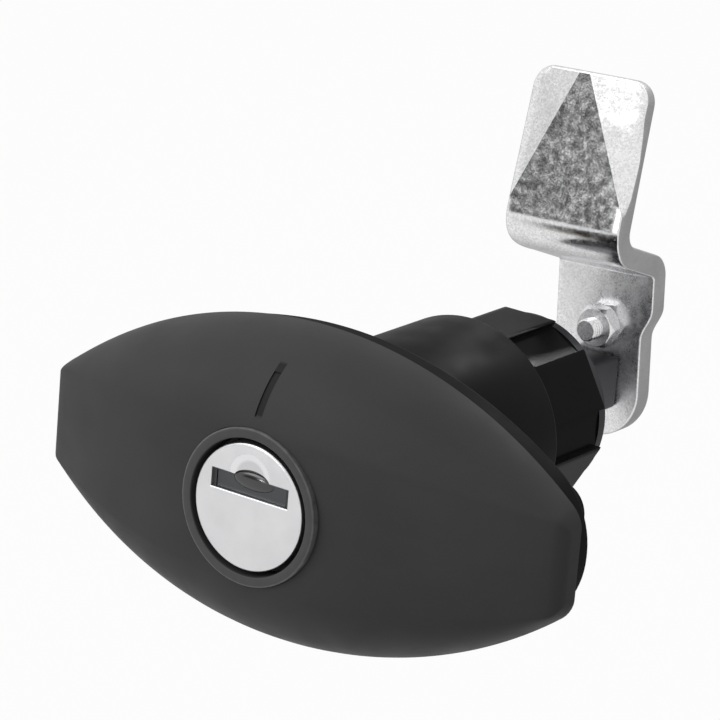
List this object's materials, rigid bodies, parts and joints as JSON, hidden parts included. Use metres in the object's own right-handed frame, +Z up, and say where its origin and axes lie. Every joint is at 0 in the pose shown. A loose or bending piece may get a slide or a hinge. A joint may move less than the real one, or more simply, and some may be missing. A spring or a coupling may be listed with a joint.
{
  "type": "caravan door lock",
  "caption": "Dark oval turning handle with a key cylinder, a fluted barrel through the door and a bent zinc-plated cam that latches behind the frame.",
  "frame": {"origin": "on the lock's axis, in the plane of the door's outer face", "axes": "+X along the handle to the right as seen from outside, +Y into the door, +Z up"},
  "size_m": [0.077, 0.0833, 0.0623],
  "materials": {
    "handle_plastic": "fine satin moulded charcoal",
    "housing_plastic": "glossy moulded black",
    "sleeve_plastic": "satin black",
    "dark_ring": "satin dark grey",
    "cap_metal": "satin silver with a bright rolled rim",
    "dark_shutter": "dark grey, slightly glossy",
    "zinc_plate": "bright zinc plating with a fine spangle",
    "zinc_casting": "plain zinc die casting",
    "plain_steel": "plain steel",
    "black_steel": "phosphated spring steel",
    "brass": "plain brass",
    "rubber": "matt black rubber"
  },
  "bodies": {
    "housing": {"housing": "housing_plastic", "threaded_inserts": "brass", "base_gasket": "rubber", "door_sleeve": "sleeve_plastic", "front_washer": "plain_steel", "rear_washer": "black_steel"},
    "handle": {"handle_shell": "handle_plastic", "handle_screws": "plain_steel", "rotor": "zinc_casting", "cylinder_shell": "dark_ring", "cylinder_grub_screw": "black_steel", "shaft_seal": "rubber", "rotor_circlip": "black_steel", "spindle": "black_steel", "spindle_pin": "plain_steel", "cam": "zinc_plate", "cam_washer": "zinc_plate", "cam_screw": "zinc_plate", "stop_bolt": "zinc_plate", "stop_nut": "zinc_plate"},
    "plug": {"plug_core": "zinc_casting", "plug_cap": "cap_metal", "plug_clip": "black_steel", "shutter_pin": "plain_steel", "shutter_spring": "plain_steel", "wafer_springs": "plain_steel"},
    "shutter": {"dust_shutter": "dark_shutter"},
    "wafers": {"wafers": "brass"},
    "lock_bolt": {"lock_bolt": "zinc_casting"}
  },
  "joints": [
    {"name": "handle_turn", "type": "hinge", "parent": "housing", "child": "handle", "pos_m": [0, 0, 0], "axis": [0, 1, 0], "range_deg": [0, 90]},
    {"name": "plug_turn", "type": "hinge", "parent": "handle", "child": "plug", "pos_m": [0, 0, 0], "axis": [0, 1, 0], "range_deg": [0, 90]},
    {"name": "bolt_slide", "type": "slide", "parent": "handle", "child": "lock_bolt", "axis": [0, 0, 1], "range_m": [0, 0.0022]},
    {"name": "shutter_swing", "type": "hinge", "parent": "plug", "child": "shutter", "pos_m": [0, -0.01745, 0.0042], "axis": [1, 0, 0], "range_deg": [0, 70], "stiffness_Nm_per_rad": 0.0005},
    {"name": "wafer_slide", "type": "slide", "parent": "plug", "child": "wafers", "axis": [1, 0, 0], "range_m": [0, 0.0007]}
  ],
  "couplings": [
    {"joint": "bolt_slide", "follows": "plug_turn", "m_per_rad": 0.0014006}
  ]
}
